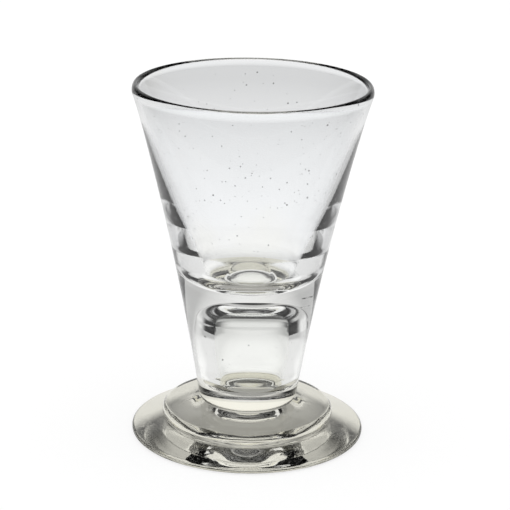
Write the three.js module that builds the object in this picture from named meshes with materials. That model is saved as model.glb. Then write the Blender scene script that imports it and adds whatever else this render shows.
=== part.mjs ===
// A schnapps glass in clear, hand-worked glass: a flared bowl with a heavy base, a tapering stem
// that traps one large air bubble, a round collar under the stem, and a broad low foot.
// Each gather of glass is a solid of its own, and the four meet in flat joints across the axis.
// Millimetres, +Z up, origin on the table under the middle of the foot.
import * as THREE from "three";

// Foot
const FOOT_RADIUS = 29.3;
const FOOT_EDGE_THICKNESS = 1.54;
const FOOT_HEIGHT = 3.35;
const FOOT_TOP_SWELL = 0.1;
const FOOT_RING_WIDTH = 11.0;
const FOOT_HOLLOW_DEPTH = 0.75;
const PONTIL_RADIUS = 6.6;
const PONTIL_DEPTH = 0.25;

// Collar
const COLLAR_RADIUS = 21.6;
const COLLAR_EDGE_HEIGHT = 3.7;
const COLLAR_WIDEST_HEIGHT = 1.8;
const COLLAR_SEAT_STEP = 0.4;
const COLLAR_UNDERCUT_HEIGHT = 1.3;
const COLLAR_ROUNDING = 1.2;
const COLLAR_CROWN = 1.0;
const COLLAR_CROWN_DIP = 0.1;

// Neck, between the collar's crown and the foot of the stem's long curve
const NECK_RADIUS = 10.4;
const NECK_HEIGHT = 2.1;
const NECK_ROUNDING = 1.6;
const STEM_BASE_RADIUS = 12.4;

// Air bubble
const BUBBLE_FLOOR_HEIGHT = 12.1;
const BUBBLE_FLOOR_RADIUS = 4.5;
const BUBBLE_FLOOR_DISH = 0.2;
const BUBBLE_HEEL_HEIGHT = 3.4;
const BUBBLE_HEEL_RADIUS = 7.95;
const BUBBLE_SIDE_SWELL = 0.55;
const BUBBLE_RADIUS = 8.8;
const BUBBLE_HEIGHT = 24.6;
const BUBBLE_SHOULDER_WIDTH = 4.8;
const BUBBLE_SHOULDER_HEIGHT = 6.2;
const BUBBLE_ROOF_DISH = 0.3;
const STEM_ROOF_THICKNESS = 1.5;

// Bowl
const MOUTH_RADIUS = 29.3;
const LIP_THICKNESS = 1.9;
const LIP_FLARE = THREE.MathUtils.degToRad(14.4);
const BOWL_BASE_THICKNESS = 2.0;
const BOWL_DEPTH = 49.7;
const WELL_RADIUS = 13.7;
const WELL_FLARE = THREE.MathUtils.degToRad(22.2);
const WELL_ROUNDING = 5.5;
const WELL_FLAT_RADIUS = 5.6;
const WELL_DISH = 0.9;
const WALL_UPPER_REACH = 18.9;
const WALL_LOWER_REACH = 11.8;

// Facets
const TURN_FACETS = 64;
const CURVE_STEPS = 5;

// Levels of the stack, from the table up
const collarSeat = FOOT_HEIGHT;
const collarEdgeTop = collarSeat + COLLAR_EDGE_HEIGHT;
const collarTop = collarEdgeTop + COLLAR_CROWN;
const stemBase = collarTop + NECK_HEIGHT;
const bubbleFloor = BUBBLE_FLOOR_HEIGHT;
const bubbleTop = bubbleFloor + BUBBLE_HEIGHT;
const bowlJoint = bubbleTop + STEM_ROOF_THICKNESS;
const wellBottom = bowlJoint + BOWL_BASE_THICKNESS;
const lipTop = wellBottom + BOWL_DEPTH;

// The collar's edge steps in a little where it meets the foot.
const collarSeatRadius = COLLAR_RADIUS - COLLAR_SEAT_STEP;

// The lip is a half round that leans with the wall, between the tangent points of its two sides.
const lipRound = LIP_THICKNESS / 2;
const lipCentre = new THREE.Vector2(MOUTH_RADIUS - lipRound, lipTop - lipRound);
const acrossWall = new THREE.Vector2(Math.cos(LIP_FLARE), -Math.sin(LIP_FLARE));
const outerLip = lipCentre.clone().addScaledVector(acrossWall, lipRound);
const innerLip = lipCentre.clone().addScaledVector(acrossWall, -lipRound);

// Outside, the stem and the bowl are one parabola, from the stem's base to the lip's outer side.
const sideHeight = outerLip.y - stemBase;
const sideSlopeAtLip = Math.tan(LIP_FLARE);
const sideSlopeAtBase = (2 * (outerLip.x - STEM_BASE_RADIUS)) / sideHeight - sideSlopeAtLip;

function sideSlope(height) {
  const share = (height - stemBase) / sideHeight;
  return THREE.MathUtils.lerp(sideSlopeAtBase, sideSlopeAtLip, share);
}

function sideRadius(height) {
  const meanSlope = (sideSlopeAtBase + sideSlope(height)) / 2;
  return STEM_BASE_RADIUS + meanSlope * (height - stemBase);
}

// Carries a profile up the outside from one height to another, exactly on the parabola.
function followSide(profile, from, to) {
  const middle = (from + to) / 2;
  const turn = sideRadius(from) + sideSlope(from) * (middle - from);
  profile.quadraticCurveTo(turn, middle, sideRadius(to), to);
}

// Carries a profile from one point to another in a shallow bow, whose middle stands off the
// straight line by the given radius and height.
function bow(profile, from, to, offRadius, offHeight) {
  const turnRadius = (from.x + to.x) / 2 + 2 * offRadius;
  const turnHeight = (from.y + to.y) / 2 + 2 * offHeight;
  profile.quadraticCurveTo(turnRadius, turnHeight, to.x, to.y);
}

// Revolves a profile of radius and height, drawn with the glass on its left, about +Z.
function turned(name, profile, material) {
  const geometry = new THREE.LatheGeometry(profile.getPoints(CURVE_STEPS), TURN_FACETS);
  geometry.rotateX(Math.PI / 2);
  const mesh = new THREE.Mesh(geometry, material);
  mesh.name = name;
  return mesh;
}

function clearGlass(color) {
  return new THREE.MeshStandardMaterial({
    color,
    roughness: 0.02,
    metalness: 0.0,
    transparent: true,
    opacity: 0.35,
  });
}

// A low disc that stands on a flat ring round a shallow hollow, with the ground pontil mark at
// its middle, a rounded edge, and a top that rises to a flat seat for the collar.
function footProfile() {
  const edgeRound = FOOT_EDGE_THICKNESS / 2;
  const ringOuter = FOOT_RADIUS - edgeRound;
  const ringInner = ringOuter - FOOT_RING_WIDTH;
  const pontilTop = FOOT_HOLLOW_DEPTH + PONTIL_DEPTH;
  const edgeTop = new THREE.Vector2(ringOuter, FOOT_EDGE_THICKNESS);
  const seat = new THREE.Vector2(collarSeatRadius, FOOT_HEIGHT);
  const profile = new THREE.Path();
  profile.moveTo(0, pontilTop);
  profile.quadraticCurveTo(PONTIL_RADIUS / 2, pontilTop, PONTIL_RADIUS, FOOT_HOLLOW_DEPTH);
  profile.quadraticCurveTo((PONTIL_RADIUS + ringInner) / 2, FOOT_HOLLOW_DEPTH, ringInner, 0);
  profile.lineTo(ringOuter, 0);
  profile.absarc(ringOuter, edgeRound, edgeRound, -Math.PI / 2, Math.PI / 2, false);
  bow(profile, edgeTop, seat, 0, FOOT_TOP_SWELL);
  profile.lineTo(0, FOOT_HEIGHT);
  return profile;
}

// A thick disc with a rounded edge and a crowned top, and the neck and first rise of the stem up
// to the bubble's floor, which is a shallow dish in its upper face.
function collarProfile() {
  const widest = collarSeat + COLLAR_WIDEST_HEIGHT;
  const undercutTop = collarSeat + COLLAR_UNDERCUT_HEIGHT;
  const crownEdge = new THREE.Vector2(COLLAR_RADIUS - COLLAR_ROUNDING, collarEdgeTop);
  const neck = new THREE.Vector2(NECK_RADIUS, collarTop);
  const neckTurn = STEM_BASE_RADIUS - NECK_ROUNDING * sideSlopeAtBase;
  const dishBottom = bubbleFloor - BUBBLE_FLOOR_DISH;
  const profile = new THREE.Path();
  profile.moveTo(0, collarSeat);
  profile.lineTo(collarSeatRadius, collarSeat);
  profile.quadraticCurveTo(COLLAR_RADIUS, undercutTop, COLLAR_RADIUS, widest);
  profile.quadraticCurveTo(COLLAR_RADIUS, collarEdgeTop, crownEdge.x, crownEdge.y);
  bow(profile, crownEdge, neck, 0, -COLLAR_CROWN_DIP);
  profile.quadraticCurveTo(neckTurn, stemBase - NECK_ROUNDING, STEM_BASE_RADIUS, stemBase);
  followSide(profile, stemBase, bubbleFloor);
  profile.lineTo(BUBBLE_FLOOR_RADIUS, bubbleFloor);
  profile.quadraticCurveTo(BUBBLE_FLOOR_RADIUS / 2, dishBottom, 0, dishBottom);
  return profile;
}

// A tapering plug, hollowed from below by the bubble: narrow at its floor, wider at its rounded
// shoulder, with a roof that sags a little in the middle.
function stemProfile() {
  const shoulderFoot = new THREE.Vector2(BUBBLE_RADIUS, bubbleTop - BUBBLE_SHOULDER_HEIGHT);
  const heelTop = new THREE.Vector2(BUBBLE_HEEL_RADIUS, bubbleFloor + BUBBLE_HEEL_HEIGHT);
  const roofRadius = BUBBLE_RADIUS - BUBBLE_SHOULDER_WIDTH;
  const roofMiddle = bubbleTop - BUBBLE_ROOF_DISH;
  const profile = new THREE.Path();
  profile.moveTo(0, roofMiddle);
  profile.quadraticCurveTo(roofRadius / 2, roofMiddle, roofRadius, bubbleTop);
  profile.absellipse(roofRadius, shoulderFoot.y, BUBBLE_SHOULDER_WIDTH, BUBBLE_SHOULDER_HEIGHT,
    Math.PI / 2, 0, true);
  bow(profile, shoulderFoot, heelTop, BUBBLE_SIDE_SWELL, 0);
  profile.quadraticCurveTo(BUBBLE_HEEL_RADIUS, bubbleFloor, BUBBLE_FLOOR_RADIUS, bubbleFloor);
  profile.lineTo(sideRadius(bubbleFloor), bubbleFloor);
  followSide(profile, bubbleFloor, bowlJoint);
  profile.lineTo(0, bowlJoint);
  return profile;
}

// A flared cup: the outside carries on the stem's curve to the lip, and the well inside flares
// more, so the wall is thin at the lip and heavy at the base.
function bowlProfile() {
  const wellSlope = Math.tan(WELL_FLARE);
  const wellSide = new THREE.Vector2(WELL_RADIUS, wellBottom + WELL_ROUNDING);
  const wallUpper = new THREE.Vector2(sideSlopeAtLip, 1).multiplyScalar(-WALL_UPPER_REACH);
  const wallLower = new THREE.Vector2(wellSlope, 1).multiplyScalar(WALL_LOWER_REACH);
  const cornerRadius = WELL_RADIUS - WELL_ROUNDING * wellSlope;
  const dishBottom = wellBottom - WELL_DISH;
  wallUpper.add(innerLip);
  wallLower.add(wellSide);
  const profile = new THREE.Path();
  profile.moveTo(0, bowlJoint);
  profile.lineTo(sideRadius(bowlJoint), bowlJoint);
  followSide(profile, bowlJoint, outerLip.y);
  profile.absarc(lipCentre.x, lipCentre.y, lipRound, -LIP_FLARE, Math.PI - LIP_FLARE, false);
  profile.bezierCurveTo(wallUpper.x, wallUpper.y, wallLower.x, wallLower.y, wellSide.x, wellSide.y);
  profile.quadraticCurveTo(cornerRadius, wellBottom, WELL_FLAT_RADIUS, wellBottom);
  profile.quadraticCurveTo(WELL_FLAT_RADIUS / 2, dishBottom, 0, dishBottom);
  return profile;
}

const glass = new THREE.Group();
glass.add(turned("foot", footProfile(), clearGlass(0xe9ece6)));
glass.add(turned("collar", collarProfile(), clearGlass(0xebeee8)));
glass.add(turned("stem", stemProfile(), clearGlass(0xeef1ee)));
glass.add(turned("bowl", bowlProfile(), clearGlass(0xf0f3f2)));

export default glass;
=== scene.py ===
"""The look of the schnapps glass: four gathers of clear glass that meet in flat joints, an air
bubble held between stem and collar, fine seeds in the wall, a pale floor and soft studio light.
Blender 4.5, metres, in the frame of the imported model."""
import math
import random

import bpy
from mathutils import Matrix, Vector


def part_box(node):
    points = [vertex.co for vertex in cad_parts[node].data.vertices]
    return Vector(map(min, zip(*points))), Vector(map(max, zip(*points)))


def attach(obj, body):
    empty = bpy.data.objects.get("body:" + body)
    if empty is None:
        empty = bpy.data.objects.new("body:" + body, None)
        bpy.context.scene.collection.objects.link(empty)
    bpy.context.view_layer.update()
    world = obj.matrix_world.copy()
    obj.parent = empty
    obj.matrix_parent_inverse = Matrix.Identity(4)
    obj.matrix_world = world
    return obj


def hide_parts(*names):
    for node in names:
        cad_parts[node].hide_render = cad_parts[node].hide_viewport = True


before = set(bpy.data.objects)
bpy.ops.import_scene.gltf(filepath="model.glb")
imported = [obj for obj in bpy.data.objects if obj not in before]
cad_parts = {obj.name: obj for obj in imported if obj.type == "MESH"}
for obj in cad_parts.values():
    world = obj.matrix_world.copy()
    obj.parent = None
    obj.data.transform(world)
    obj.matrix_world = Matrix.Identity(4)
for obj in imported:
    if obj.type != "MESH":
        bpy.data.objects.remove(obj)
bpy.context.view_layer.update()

MM = 0.001

# Outline sizes of the glass, in millimetres
FOOT_EDGE_THICKNESS = 1.54
FOOT_TOP_SWELL = 0.02
PONTIL_HEIGHT = 1.55
PONTIL_GROOVE = (5.0, 1.12)
HOLLOW_SHOULDER = (10.0, 1.52)
HOLLOW_SIDE = (14.0, 0.62)
RING_INNER_EDGE = (18.0, 0.09)
RING_CONTACT_RADIUS = 22.0
RING_OUTER_EDGE = (26.0, 0.08)
RING_END_HEIGHT = 0.10
COLLAR_RADIUS = 21.6
COLLAR_EDGE_HEIGHT = 3.7
COLLAR_WIDEST_HEIGHT = 1.7
COLLAR_SEAT_STEP = 0.6
COLLAR_UNDERCUT_HEIGHT = 1.4
COLLAR_ROUNDING = 2.1
COLLAR_CROWN = 1.0
COLLAR_CROWN_SWELL = 0.05
NECK_RADIUS = 10.4
NECK_HEIGHT = 2.1
NECK_ROUNDING = 1.6
STEM_BASE_RADIUS = 12.4
BUBBLE_FLOOR_RADIUS = 4.5
BUBBLE_FLOOR_DISH = 0.2
BUBBLE_HEEL_HEIGHT = 3.4
BUBBLE_HEEL_RADIUS = 7.95
BUBBLE_SIDE_SWELL = 0.55
BUBBLE_RADIUS = 8.8
BUBBLE_SHOULDER_WIDTH = 4.8
BUBBLE_SHOULDER_HEIGHT = 6.2
BUBBLE_ROOF_DISH = 0.3
BUBBLE_ASIDE = 0.5
STEM_ROOF_THICKNESS = 1.5
LIP_THICKNESS = 1.9
LIP_FLARE = math.radians(14.4)
LIP_HALF_WIDTH = 0.85
LIP_HALF_HEIGHT = 1.6
MOUTH_TURN_OUT = 0.227
MOUTH_TURN_HEIGHT = 8.5
SIDE_DRAWN_IN = 0.3
BOWL_BASE_THICKNESS = 2.0
WELL_RADIUS = 13.7
WELL_FLARE = math.radians(22.2)
WELL_ROUNDING = 5.5
WELL_FLAT_RADIUS = 5.6
WELL_DISH = 0.9
WALL_UPPER_REACH = 18.9
WALL_LOWER_REACH = 11.8

# Fineness of the turned surfaces, lengths in millimetres
TURN_STEPS = 224
CURVE_STEPS = 24
SHARP_ANGLE = math.radians(28)
LEAST_STEP = 1e-4
SAME_PLACE = 1e-6

# The photograph's camera, and the frame that its focal length is measured in
PHOTO_WIDTH = 510
FOCAL_PIXELS = 1909.5
CAMERA_DISTANCE = 0.4502
CAMERA_HEIGHT = 0.1952
CAMERA_PITCH = 0.3195
CAMERA_YAW = 0.0027
CAMERA_ROLL = 0.0193
SENSOR_WIDTH = 36.0

# Glass. Each piece has two tints that drift into each other. The bowl has two more: it starts
# with those of its thick base and goes over to those of its thin wall.
GLASS_IOR = 1.52
BOWL_TINTS = ((0.965, 0.960, 0.920, 1.0), (0.984, 0.986, 0.975, 1.0),
              (0.985, 0.992, 0.998, 1.0), (0.975, 0.984, 0.990, 1.0))
STEM_TINTS = ((0.975, 0.980, 0.966, 1.0), (0.962, 0.968, 0.950, 1.0))
BASE_TINTS = ((0.978, 0.962, 0.865, 1.0), (0.958, 0.940, 0.835, 1.0))
TINT_STOPS = (0.35, 0.60, 0.75, 1.00)
THIN_FROM = (0.040, 0.054)
THIN_SHIFT = 0.35
TINT_CLOUD_SCALE = 55.0
TINT_CLOUD_DETAIL = 2.0

# Unevenness of the surfaces: waves per metre and depths in metres. Wear grows from the first
# height to the second, in millimetres.
BOWL_WAVES = (110.0, 0.000005)
STEM_WAVES = (150.0, 0.000004)
BASE_WAVES = (280.0, 0.000014)
WAVE_DETAIL = 1.5
TOOL_MARK_SCALE = 190.0
TOOL_MARK_DEPTH = 0.000020
TOOL_MARK_DISTORTION = 1.5
TOOL_MARK_DETAIL = 2.0
TOOL_MARK_FADE = 0.5
FOOT_WEAR = (0.12, 0.03)
STEM_WEAR = (20.0, 12.0)
LIP_WEAR_HEIGHT = 0.7
SCUFF_SCALE = 900.0
SCUFF_DETAIL = 4.0
SCUFF_ROUGHNESS = 0.10
SCUFF_FROM = (0.52, 0.68)

# Seeds: tiny bubbles in the melt, sizes in millimetres. The lowness is a power, below 1 for more
# seeds higher up, and the smallness is one above 1 for more small seeds than large ones.
SEED_START = 7
BOWL_SEEDS = 260
BOWL_SEEDS_FROM = 51.0
BOWL_SEEDS_BELOW_LIP = 2.0
BOWL_SEEDS_LOWNESS = 0.8
STEM_SEEDS = 26
STEM_SEEDS_MARGIN = 1.0
SEED_SIZES = (0.10, 0.22)
SEED_SMALLNESS = 3
SEED_MARGIN = 0.25
LARGE_SEED = (-10.3, -10.2, 28.5, 0.32)
SEED_SEGMENTS = 8

# Studio, in metres: a round pool of light on the floor, a fan of it to the back and the shadow of
# the foot, in a dark room that glows behind, in a belt to the sides and overhead
FLOOR_HALF = 3.0
FLOOR_GAP = 0.0001
FLOOR_COLOR = (0.3, 0.3, 0.3, 1.0)
FLOOR_LIFT = 0.75
POOL_LEVEL = 0.82
POOL_EDGES = (0.26, 0.52)
FAN_LEVELS = (1.02, 0.74)
FAN_REACH = (0.09, 0.42)
FAN_APEX = -0.090
FAN_EDGES = (math.radians(2), math.radians(62))
FAN_START = (-0.01, 0.05)
FAR_LEVEL = 0.50
SHADOW_LEVELS = (0.46, 0.14)
SHADOW_RADII = (0.012, 0.024)
FOOT_EDGES = (0.030, 0.040)
SHADOW_CENTRE = (0.0, -0.024, 0.0)
SHADOW_EDGES = (0.0305, 0.0380)
ROOM_LEVEL = 0.004
BACK_GLOW = 0.85
BACK_GLOW_SIDES = (math.radians(12), math.radians(42))
BACK_GLOW_RISE = (math.radians(5), math.radians(40))
LOW_GLOW = 0.5
LOW_GLOW_SIDES = (math.radians(35), math.radians(65))
LOW_GLOW_RISE = (math.radians(14), math.radians(19), math.radians(28), math.radians(36))
ZENITH_GLOW = 0.35
ZENITH_EDGES = (math.radians(62), math.radians(85))


def height_of(node, top):
    """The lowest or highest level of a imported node, in millimetres."""
    low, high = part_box(node)
    return (high.z if top else low.z) / MM


foot_top = height_of("foot", True)
collar_edge_top = foot_top + COLLAR_EDGE_HEIGHT
collar_top = collar_edge_top + COLLAR_CROWN
stem_base = collar_top + NECK_HEIGHT
bubble_floor = height_of("collar", True)
bowl_joint = height_of("stem", True)
bubble_top = bowl_joint - STEM_ROOF_THICKNESS
well_bottom = bowl_joint + BOWL_BASE_THICKNESS
lip_top = height_of("bowl", True)
foot_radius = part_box("foot")[1].x / MM
mouth_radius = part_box("bowl")[1].x / MM
collar_seat_radius = COLLAR_RADIUS - COLLAR_SEAT_STEP


def curve(*corners, steps=CURVE_STEPS):
    """A parabola or cubic from the first corner to the last, drawn towards those between."""
    points = []
    for k in range(steps + 1):
        row, t = list(corners), k / steps
        while len(row) > 1:
            row = [tuple(a[i] + (b[i] - a[i]) * t for i in (0, 1)) for a, b in zip(row, row[1:])]
        points.append(row[0])
    return points


def through(*points, steps=8):
    """A smooth line through all the points, from the first to the last."""
    ends = [tuple(2 * a[i] - b[i] for i in (0, 1)) for a, b in (points[:2], points[:-3:-1])]
    line = [ends[0], *points, ends[1]]
    placed = []
    for before, start, end, after in zip(line, line[1:], line[2:], line[3:]):
        placed += curve(start, tuple(start[i] + (end[i] - before[i]) / 6 for i in (0, 1)),
                        tuple(end[i] - (after[i] - start[i]) / 6 for i in (0, 1)), end, steps=steps)
    return placed


def bow(start, end, off_radius, off_height):
    """A shallow parabola whose middle stands off the straight line."""
    turn = ((start[0] + end[0]) / 2 + 2 * off_radius, (start[1] + end[1]) / 2 + 2 * off_height)
    return curve(start, turn, end)


def arc(centre, width, height, first, last, steps=CURVE_STEPS):
    turns = [first + (last - first) * k / steps for k in range(steps + 1)]
    return [(centre[0] + width * math.cos(a), centre[1] + height * math.sin(a)) for a in turns]


# Outside, stem and bowl start from one parabola that ends square to the lip.
lip_round = LIP_THICKNESS / 2
side_end = (mouth_radius - lip_round * (1 - math.cos(LIP_FLARE)),
            lip_top - lip_round * (1 + math.sin(LIP_FLARE)))
side_height = side_end[1] - stem_base
side_slope_at_lip = math.tan(LIP_FLARE)
side_slope_at_base = 2 * (side_end[0] - STEM_BASE_RADIUS) / side_height - side_slope_at_lip

# The lip is a tall half round: the wall runs into it on both sides.
lip_centre = (mouth_radius - LIP_HALF_WIDTH, lip_top - LIP_HALF_HEIGHT)
lip_stretch = LIP_HALF_HEIGHT / LIP_HALF_WIDTH
outer_slope_at_lip = side_slope_at_lip + 2 * MOUTH_TURN_OUT / MOUTH_TURN_HEIGHT
outer_lip_turn = -math.atan(lip_stretch * outer_slope_at_lip)
inner_lip_turn = math.pi - math.atan(lip_stretch * side_slope_at_lip)


def lip_point(turn):
    return (lip_centre[0] + LIP_HALF_WIDTH * math.cos(turn),
            lip_centre[1] + LIP_HALF_HEIGHT * math.sin(turn))


outer_lip = lip_point(outer_lip_turn)
inner_lip = lip_point(inner_lip_turn)


def side_radius(height):
    """The outside wall: the parabola, a little drawn in halfway and turned out to the mouth."""
    share = (height - stem_base) / side_height
    slope = side_slope_at_base + (side_slope_at_lip - side_slope_at_base) * share
    plain = STEM_BASE_RADIUS + (side_slope_at_base + slope) / 2 * (height - stem_base)
    near_mouth = max(0, height - outer_lip[1] + MOUTH_TURN_HEIGHT) / MOUTH_TURN_HEIGHT
    return plain - SIDE_DRAWN_IN * 4 * share * (1 - share) + MOUTH_TURN_OUT * near_mouth ** 2


def side(start, end, steps=CURVE_STEPS):
    heights = [start + (end - start) * k / steps for k in range(steps + 1)]
    return [(side_radius(h), h) for h in heights]


def foot_profile():
    edge = FOOT_EDGE_THICKNESS / 2
    ring_outer = foot_radius - edge
    edge_middle = (RING_END_HEIGHT + 2 * edge) / 2
    underside = through((0, PONTIL_HEIGHT), PONTIL_GROOVE, HOLLOW_SHOULDER, HOLLOW_SIDE,
                        RING_INNER_EDGE, (RING_CONTACT_RADIUS, 0.0), RING_OUTER_EDGE,
                        (ring_outer, RING_END_HEIGHT))
    return (
        [(radius, max(0.0, height)) for radius, height in underside]
        + arc((ring_outer, edge_middle), edge, 2 * edge - edge_middle, -math.pi / 2, math.pi / 2)
        + bow((ring_outer, 2 * edge), (collar_seat_radius, foot_top), 0, FOOT_TOP_SWELL)
        + [(0, foot_top)]
    )


def collar_profile():
    widest = foot_top + COLLAR_WIDEST_HEIGHT
    crown_edge = (COLLAR_RADIUS - COLLAR_ROUNDING, collar_edge_top)
    neck_turn = STEM_BASE_RADIUS - NECK_ROUNDING * side_slope_at_base
    dish_bottom = bubble_floor - BUBBLE_FLOOR_DISH
    return (
        [(0, foot_top)]
        + curve((collar_seat_radius, foot_top), (COLLAR_RADIUS, foot_top + COLLAR_UNDERCUT_HEIGHT),
                (COLLAR_RADIUS, widest))
        + curve((COLLAR_RADIUS, widest), (COLLAR_RADIUS, collar_edge_top), crown_edge)
        + bow(crown_edge, (NECK_RADIUS, collar_top), 0, COLLAR_CROWN_SWELL)
        + curve((NECK_RADIUS, collar_top), (neck_turn, stem_base - NECK_ROUNDING),
                (STEM_BASE_RADIUS, stem_base))
        + side(stem_base, bubble_floor)
        + curve((BUBBLE_FLOOR_RADIUS, bubble_floor), (BUBBLE_FLOOR_RADIUS / 2, dish_bottom),
                (0, dish_bottom))
    )


def stem_profile():
    shoulder_foot = (BUBBLE_RADIUS, bubble_top - BUBBLE_SHOULDER_HEIGHT)
    heel_top = (BUBBLE_HEEL_RADIUS, bubble_floor + BUBBLE_HEEL_HEIGHT)
    roof_radius = BUBBLE_RADIUS - BUBBLE_SHOULDER_WIDTH
    roof_middle = bubble_top - BUBBLE_ROOF_DISH
    return (
        curve((0, roof_middle), (roof_radius / 2, roof_middle), (roof_radius, bubble_top))
        + arc((roof_radius, shoulder_foot[1]), BUBBLE_SHOULDER_WIDTH, BUBBLE_SHOULDER_HEIGHT,
              math.pi / 2, 0)
        + bow(shoulder_foot, heel_top, BUBBLE_SIDE_SWELL, 0)
        + curve(heel_top, (BUBBLE_HEEL_RADIUS, bubble_floor), (BUBBLE_FLOOR_RADIUS, bubble_floor))
        + side(bubble_floor, bowl_joint)
        + [(0, bowl_joint)]
    )


def bowl_inside():
    """The inside wall of the bowl, from the lip down to the rounding of the well."""
    upper = (inner_lip[0] - WALL_UPPER_REACH * side_slope_at_lip, inner_lip[1] - WALL_UPPER_REACH)
    lower = (well_side[0] + WALL_LOWER_REACH * well_slope, well_side[1] + WALL_LOWER_REACH)
    return curve(inner_lip, upper, lower, well_side, steps=2 * CURVE_STEPS)


well_slope = math.tan(WELL_FLARE)
well_side = (WELL_RADIUS, well_bottom + WELL_ROUNDING)


def bowl_profile():
    corner = (WELL_RADIUS - WELL_ROUNDING * well_slope, well_bottom)
    dish_bottom = well_bottom - WELL_DISH
    return (
        [(0, bowl_joint)]
        + side(bowl_joint, outer_lip[1], 2 * CURVE_STEPS)
        + arc(lip_centre, LIP_HALF_WIDTH, LIP_HALF_HEIGHT, outer_lip_turn, inner_lip_turn)
        + bowl_inside()
        + curve(well_side, corner, (WELL_FLAT_RADIUS, well_bottom))
        + curve((WELL_FLAT_RADIUS, well_bottom), (WELL_FLAT_RADIUS / 2, dish_bottom),
                (0, dish_bottom))
    )


def aside(radius, height):
    """How far a point is moved to the right: the bubble's wall is, the rest of the glass isn't."""
    in_radius = radius < BUBBLE_RADIUS + BUBBLE_SIDE_SWELL
    in_height = bubble_floor - 1 < height < bubble_top + 1
    return BUBBLE_ASIDE if in_radius and in_height else 0.0


def scattered_seed(dice, inside, height):
    """A seed between the inner radius and the outside wall: centre and radius in millimetres."""
    room = side_radius(height) - inside - 2 * SEED_MARGIN
    radius = inside + SEED_MARGIN + room * dice.random()
    angle = 2 * math.pi * dice.random()
    size = SEED_SIZES[0] + (SEED_SIZES[1] - SEED_SIZES[0]) * dice.random() ** SEED_SMALLNESS
    return radius * math.cos(angle), radius * math.sin(angle), height, size


def bowl_seeds():
    dice, wall, seeds = random.Random(SEED_START), bowl_inside(), []
    rise = inner_lip[1] - BOWL_SEEDS_BELOW_LIP - BOWL_SEEDS_FROM
    for _ in range(BOWL_SEEDS):
        height = BOWL_SEEDS_FROM + rise * dice.random() ** BOWL_SEEDS_LOWNESS
        inside = min(wall, key=lambda point: abs(point[1] - height))[0]
        seeds.append(scattered_seed(dice, inside, height))
    return seeds


def stem_seeds():
    dice, seeds = random.Random(SEED_START + 1), [LARGE_SEED]
    inside = BUBBLE_RADIUS + BUBBLE_SIDE_SWELL + BUBBLE_ASIDE
    rise = bowl_joint - bubble_floor - 2 * STEM_SEEDS_MARGIN
    for _ in range(STEM_SEEDS):
        height = bubble_floor + STEM_SEEDS_MARGIN + rise * dice.random()
        seeds.append(scattered_seed(dice, inside, height))
    return seeds


def hollow_ball(seed, first):
    """A small round cavity as points and faces that look inwards; its points start at first."""
    x, y, z, size = seed
    rows = SEED_SEGMENTS // 2
    points, faces = [(x * MM, y * MM, (z - size) * MM)], []
    for row in range(1, rows):
        tilt = math.pi * row / rows
        for k in range(SEED_SEGMENTS):
            angle = 2 * math.pi * k / SEED_SEGMENTS
            points.append(((x + size * math.sin(tilt) * math.cos(angle)) * MM,
                           (y + size * math.sin(tilt) * math.sin(angle)) * MM,
                           (z - size * math.cos(tilt)) * MM))
    points.append((x * MM, y * MM, (z + size) * MM))
    top = first + len(points) - 1
    for k in range(SEED_SEGMENTS):
        n = (k + 1) % SEED_SEGMENTS
        faces.append((first, first + 1 + k, first + 1 + n))
        faces.append((top - SEED_SEGMENTS + n, top - SEED_SEGMENTS + k, top))
        for row in range(rows - 2):
            low = first + 1 + row * SEED_SEGMENTS
            high = low + SEED_SEGMENTS
            faces.append((low + k, high + k, high + n, low + n))
    return points, faces


def turned(name, profile, joints, seeds, glass, joined):
    """Revolves a profile of radius and height about +Z. A flat face at a joint level, outside
    the radius given for it, is where two gathers have melted together and shows no surface."""
    rows = [profile[0]]
    for point in profile[1:]:
        if math.dist(point, rows[-1]) > LEAST_STEP:
            rows.append(point)
    vertices, rings = [], []
    for radius, height in rows:
        count = 1 if radius < SAME_PLACE else TURN_STEPS
        rings.append(range(len(vertices), len(vertices) + count))
        for k in range(count):
            angle = 2 * math.pi * k / TURN_STEPS
            across = radius * math.cos(angle) + aside(radius, height)
            vertices.append((across * MM, radius * MM * math.sin(angle), height * MM))
    faces, hidden = [], []
    for low, high, start, end in zip(rings, rings[1:], rows, rows[1:]):
        at_joint = any(
            abs(start[1] - level) < SAME_PLACE and abs(end[1] - level) < SAME_PLACE
            and min(start[0], end[0]) >= inner - SAME_PLACE
            for level, inner in joints
        )
        for k in range(TURN_STEPS):
            n = (k + 1) % TURN_STEPS
            corners = low[k % len(low)], low[n % len(low)], high[n % len(high)], high[k % len(high)]
            faces.append(list(dict.fromkeys(corners)))
            hidden.append(at_joint)
    for seed in seeds:
        points, around = hollow_ball(seed, len(vertices))
        vertices += points
        faces += around
        hidden += [False] * len(around)
    mesh = bpy.data.meshes.new(name)
    mesh.from_pydata(vertices, [], faces)
    mesh.materials.append(glass)
    mesh.materials.append(joined)
    mesh.polygons.foreach_set("material_index", [int(h) for h in hidden])
    mesh.update()
    piece = bpy.data.objects.new(name, mesh)
    bpy.context.scene.collection.objects.link(piece)
    mesh.shade_smooth()
    mesh.set_sharp_from_angle(angle=SHARP_ANGLE)
    return piece


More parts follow.
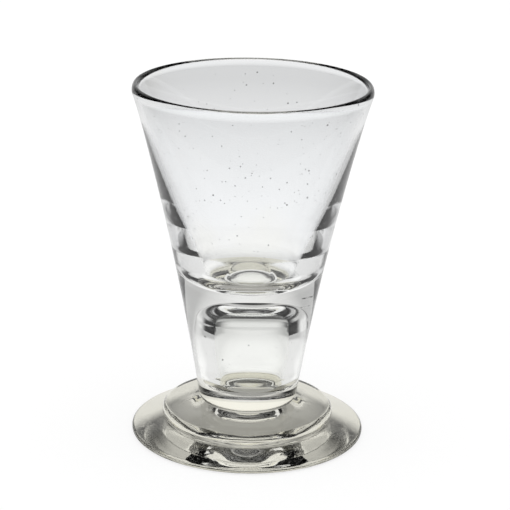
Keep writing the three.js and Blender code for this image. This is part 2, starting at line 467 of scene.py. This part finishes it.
class Graph:
    """Short forms for building a shader tree."""

    def __init__(self, tree):
        self.nodes, self.links = tree.nodes, tree.links
        self.nodes.clear()

    def new(self, kind, **settings):
        node = self.nodes.new(kind)
        for key, value in settings.items():
            setattr(node, key, value)
        return node

    def put(self, socket, value):
        if isinstance(value, bpy.types.NodeSocket):
            self.links.new(value, socket)
        else:
            socket.default_value = value

    def math(self, operation, *values):
        node = self.new("ShaderNodeMath", operation=operation)
        for socket, value in zip(node.inputs, values):
            self.put(socket, value)
        return node.outputs[0]

    def fade(self, value, start, end, low=0.0, high=1.0, form="SMOOTHSTEP"):
        node = self.new("ShaderNodeMapRange", interpolation_type=form)
        self.put(node.inputs["Value"], value)
        node.inputs["From Min"].default_value = start
        node.inputs["From Max"].default_value = end
        node.inputs["To Min"].default_value = low
        node.inputs["To Max"].default_value = high
        return node.outputs[0]

    def noise(self, place, scale, detail):
        node = self.new("ShaderNodeTexNoise")
        node.inputs["Scale"].default_value = scale
        node.inputs["Detail"].default_value = detail
        self.links.new(place, node.inputs["Vector"])
        return node.outputs[0]

    def mixed(self, factor, first, second):
        node = self.new("ShaderNodeMixShader")
        self.put(node.inputs[0], factor)
        self.links.new(first, node.inputs[1])
        self.links.new(second, node.inputs[2])
        return node.outputs[0]


def new_material(name):
    material = bpy.data.materials.new(name)
    material.use_nodes = True
    return material, Graph(material.node_tree)


def tool_marks(g, place, height, marks):
    """Fine rings round the edge, which fade in and out between the four heights given."""
    rings = g.new("ShaderNodeTexWave", wave_type="BANDS", bands_direction="Z")
    rings.inputs["Scale"].default_value = TOOL_MARK_SCALE
    rings.inputs["Distortion"].default_value = TOOL_MARK_DISTORTION
    rings.inputs["Detail"].default_value = TOOL_MARK_DETAIL
    g.links.new(place, rings.inputs["Vector"])
    band = g.math("MULTIPLY", g.fade(height, *marks[:2]), g.fade(height, *marks[2:], 1.0, 0.0))
    return g.math("MULTIPLY", g.math("MULTIPLY", rings.outputs["Fac"], band), TOOL_MARK_DEPTH)


def glass_material(name, tints, waves, worn, marks=None):
    """Clear glass with faint clouds of tint and shallow waves. It is scuffed where the height
    goes from the first to the second level of worn, and tooled in rings along marks."""
    material, g = new_material(name + "_clear_glass")
    output = g.new("ShaderNodeOutputMaterial")
    shader = g.new("ShaderNodeBsdfPrincipled")
    place = g.new("ShaderNodeTexCoord").outputs["Object"]
    split = g.new("ShaderNodeSeparateXYZ")
    g.links.new(place, split.inputs[0])
    height = split.outputs["Z"]

    thin = g.fade(height, *THIN_FROM, 0.0, THIN_SHIFT)
    clouds = g.math("ADD", g.noise(place, TINT_CLOUD_SCALE, TINT_CLOUD_DETAIL), thin)
    tint = g.new("ShaderNodeValToRGB")
    stops = tint.color_ramp.elements
    for _ in tints[2:]:
        stops.new(1.0)
    for stop, position, color in zip(stops, TINT_STOPS, tints):
        stop.position, stop.color = position, color
    g.links.new(clouds, tint.inputs["Fac"])
    g.links.new(tint.outputs["Color"], shader.inputs["Base Color"])

    scuffs = g.fade(g.noise(place, SCUFF_SCALE, SCUFF_DETAIL), *SCUFF_FROM)
    wear = g.math("MULTIPLY", g.fade(height, *worn), scuffs)
    g.links.new(g.math("MULTIPLY", wear, SCUFF_ROUGHNESS), shader.inputs["Roughness"])

    bump = g.new("ShaderNodeBump")
    bump.inputs["Distance"].default_value = 1.0
    relief = g.math("MULTIPLY", g.noise(place, waves[0], WAVE_DETAIL), waves[1])
    if marks:
        relief = g.math("ADD", relief, tool_marks(g, place, height, marks))
    g.links.new(relief, bump.inputs["Height"])
    g.links.new(bump.outputs["Normal"], shader.inputs["Normal"])

    shader.inputs["IOR"].default_value = GLASS_IOR
    shader.inputs["Transmission Weight"].default_value = 1.0
    g.links.new(shader.outputs["BSDF"], output.inputs["Surface"])
    return material


def joined_material():
    material, g = new_material("melted_joint")
    output = g.new("ShaderNodeOutputMaterial")
    shader = g.new("ShaderNodeBsdfTransparent")
    g.links.new(shader.outputs["BSDF"], output.inputs["Surface"])
    return material


def add_camera():
    data = bpy.data.cameras.new("camera")
    data.sensor_width = SENSOR_WIDTH
    data.lens = FOCAL_PIXELS / PHOTO_WIDTH * SENSOR_WIDTH
    camera = bpy.data.objects.new("camera", data)
    bpy.context.scene.collection.objects.link(camera)
    forward = Vector((
        math.sin(CAMERA_YAW) * math.cos(CAMERA_PITCH),
        math.cos(CAMERA_YAW) * math.cos(CAMERA_PITCH),
        -math.sin(CAMERA_PITCH),
    ))
    right = Vector((math.cos(CAMERA_YAW), -math.sin(CAMERA_YAW), 0))
    up = right.cross(forward)
    turn = Matrix((right, up, -forward)).transposed() @ Matrix.Rotation(CAMERA_ROLL, 3, "Z")
    camera.matrix_world = Matrix.Translation((0, -CAMERA_DISTANCE, CAMERA_HEIGHT)) @ turn.to_4x4()
    bpy.context.scene.camera = camera


def sheet_pattern(g):
    """How bright the floor is, place by place, as the glass gathers it: the pool, the fan to
    the back, and the foot's shadow, which falls to the front."""
    place = g.new("ShaderNodeNewGeometry")
    split = g.new("ShaderNodeSeparateXYZ")
    g.links.new(place.outputs["Position"], split.inputs[0])
    x, y = split.outputs["X"], split.outputs["Y"]
    measure = g.new("ShaderNodeVectorMath", operation="LENGTH")
    g.links.new(place.outputs["Position"], measure.inputs[0])
    away = measure.outputs["Value"]
    turn = g.math("ARCTAN2", g.math("ABSOLUTE", x), g.math("SUBTRACT", y, FAN_APEX))
    fan = g.math("MULTIPLY", g.fade(turn, *FAN_EDGES, 1.0, 0.0),
                 g.fade(away, *FAN_REACH, *FAN_LEVELS, "LINEAR"))
    pool = g.math("MAXIMUM", g.fade(away, *POOL_EDGES, POOL_LEVEL, FAR_LEVEL),
                  g.math("MULTIPLY", fan, g.fade(y, *FAN_START)))
    shadow = g.new("ShaderNodeVectorMath", operation="DISTANCE")
    g.links.new(place.outputs["Position"], shadow.inputs[0])
    shadow.inputs[1].default_value = SHADOW_CENTRE
    lit = g.math("MAXIMUM", g.fade(away, *FOOT_EDGES),
                 g.fade(shadow.outputs["Value"], *SHADOW_EDGES))
    under = g.math("MAXIMUM", lit, g.fade(away, *SHADOW_RADII, *SHADOW_LEVELS))
    return g.math("MULTIPLY", pool, under)


def room_pattern(g):
    """How bright the room is by direction: a glow behind, a belt to its sides, one overhead."""
    place = g.new("ShaderNodeTexCoord")
    split = g.new("ShaderNodeSeparateXYZ")
    g.links.new(place.outputs["Generated"], split.inputs[0])
    rise = g.math("ARCSINE", split.outputs["Z"])
    turn = g.math("ARCTAN2", g.math("ABSOLUTE", split.outputs["X"]), split.outputs["Y"])
    back = g.math("MULTIPLY", g.fade(turn, *BACK_GLOW_SIDES, BACK_GLOW, 0.0),
                  g.fade(rise, *BACK_GLOW_RISE, 1.0, 0.0, "LINEAR"))
    belt = g.math("MULTIPLY", g.fade(rise, *LOW_GLOW_RISE[:2]),
                  g.fade(rise, *LOW_GLOW_RISE[2:], 1.0, 0.0))
    low = g.math("MULTIPLY", g.fade(turn, *LOW_GLOW_SIDES, LOW_GLOW, 0.0), belt)
    level = g.math("ADD", g.math("MAXIMUM", back, low), ROOM_LEVEL)
    return g.math("MULTIPLY_ADD", g.fade(rise, *ZENITH_EDGES), ZENITH_GLOW, level)


def add_floor():
    h, z = FLOOR_HALF, -FLOOR_GAP
    mesh = bpy.data.meshes.new("floor")
    mesh.from_pydata([(-h, -h, z), (h, -h, z), (h, h, z), (-h, h, z)], [], [(0, 1, 2, 3)])
    floor = bpy.data.objects.new("floor", mesh)
    bpy.context.scene.collection.objects.link(floor)
    material, g = new_material("pale_floor")
    output = g.new("ShaderNodeOutputMaterial")
    paper = g.new("ShaderNodeBsdfDiffuse")
    paper.inputs["Color"].default_value = FLOOR_COLOR
    lift = g.new("ShaderNodeEmission")
    lift.inputs["Strength"].default_value = FLOOR_LIFT
    both = g.new("ShaderNodeAddShader")
    g.links.new(paper.outputs[0], both.inputs[0])
    g.links.new(lift.outputs[0], both.inputs[1])
    seen = g.new("ShaderNodeEmission")
    g.links.new(sheet_pattern(g), seen.inputs["Strength"])
    path = g.new("ShaderNodeLightPath")
    through = g.math("MAXIMUM", path.outputs["Is Glossy Ray"], path.outputs["Is Transmission Ray"])
    g.links.new(g.mixed(through, both.outputs[0], seen.outputs[0]), output.inputs["Surface"])
    mesh.materials.append(material)


def add_world():
    world = bpy.data.worlds.new("studio")
    bpy.context.scene.world = world
    world.use_nodes = True
    g = Graph(world.node_tree)
    output = g.new("ShaderNodeOutputWorld")
    room = g.new("ShaderNodeBackground")
    g.links.new(room_pattern(g), room.inputs["Color"])
    white = g.new("ShaderNodeBackground")
    white.inputs["Color"].default_value = (1, 1, 1, 1)
    path = g.new("ShaderNodeLightPath")
    plain = g.math("MAXIMUM", path.outputs["Is Camera Ray"], path.outputs["Is Diffuse Ray"])
    g.links.new(g.mixed(plain, room.outputs[0], white.outputs[0]), output.inputs["Surface"])


add_camera()
joined = joined_material()
floor_joint = (foot_top, 0.0)
bubble_joint = (bubble_floor, BUBBLE_FLOOR_RADIUS)
upper_joint = (bowl_joint, 0.0)
edge_marks = [level * MM for level in (foot_top, foot_top + TOOL_MARK_FADE,
                                       collar_edge_top - TOOL_MARK_FADE, collar_edge_top)]
foot_wear = [level * MM for level in FOOT_WEAR]
stem_wear = [level * MM for level in STEM_WEAR]
lip_wear = [(lip_top - LIP_WEAR_HEIGHT) * MM, lip_top * MM]
PIECES = {
    "foot": (foot_profile(), [floor_joint], [],
             glass_material("foot", BASE_TINTS, BASE_WAVES, foot_wear)),
    "collar": (collar_profile(), [floor_joint, bubble_joint], [],
               glass_material("collar", BASE_TINTS, BASE_WAVES, edge_marks[:2], edge_marks)),
    "stem": (stem_profile(), [bubble_joint, upper_joint], stem_seeds(),
             glass_material("stem", STEM_TINTS, STEM_WAVES, stem_wear)),
    "bowl": (bowl_profile(), [upper_joint], bowl_seeds(),
             glass_material("bowl", BOWL_TINTS, BOWL_WAVES, lip_wear)),
}
for name, (profile, joints, seeds, glass) in PIECES.items():
    piece = turned(name + "_glass", profile, joints, seeds, glass, joined)
    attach(piece, "root")
    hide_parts(name)

add_floor()
add_world()

scene = bpy.context.scene
scene.view_settings.view_transform = "Standard"
scene.cycles.max_bounces = 48
scene.cycles.transmission_bounces = 32
scene.cycles.glossy_bounces = 16
scene.cycles.transparent_max_bounces = 32
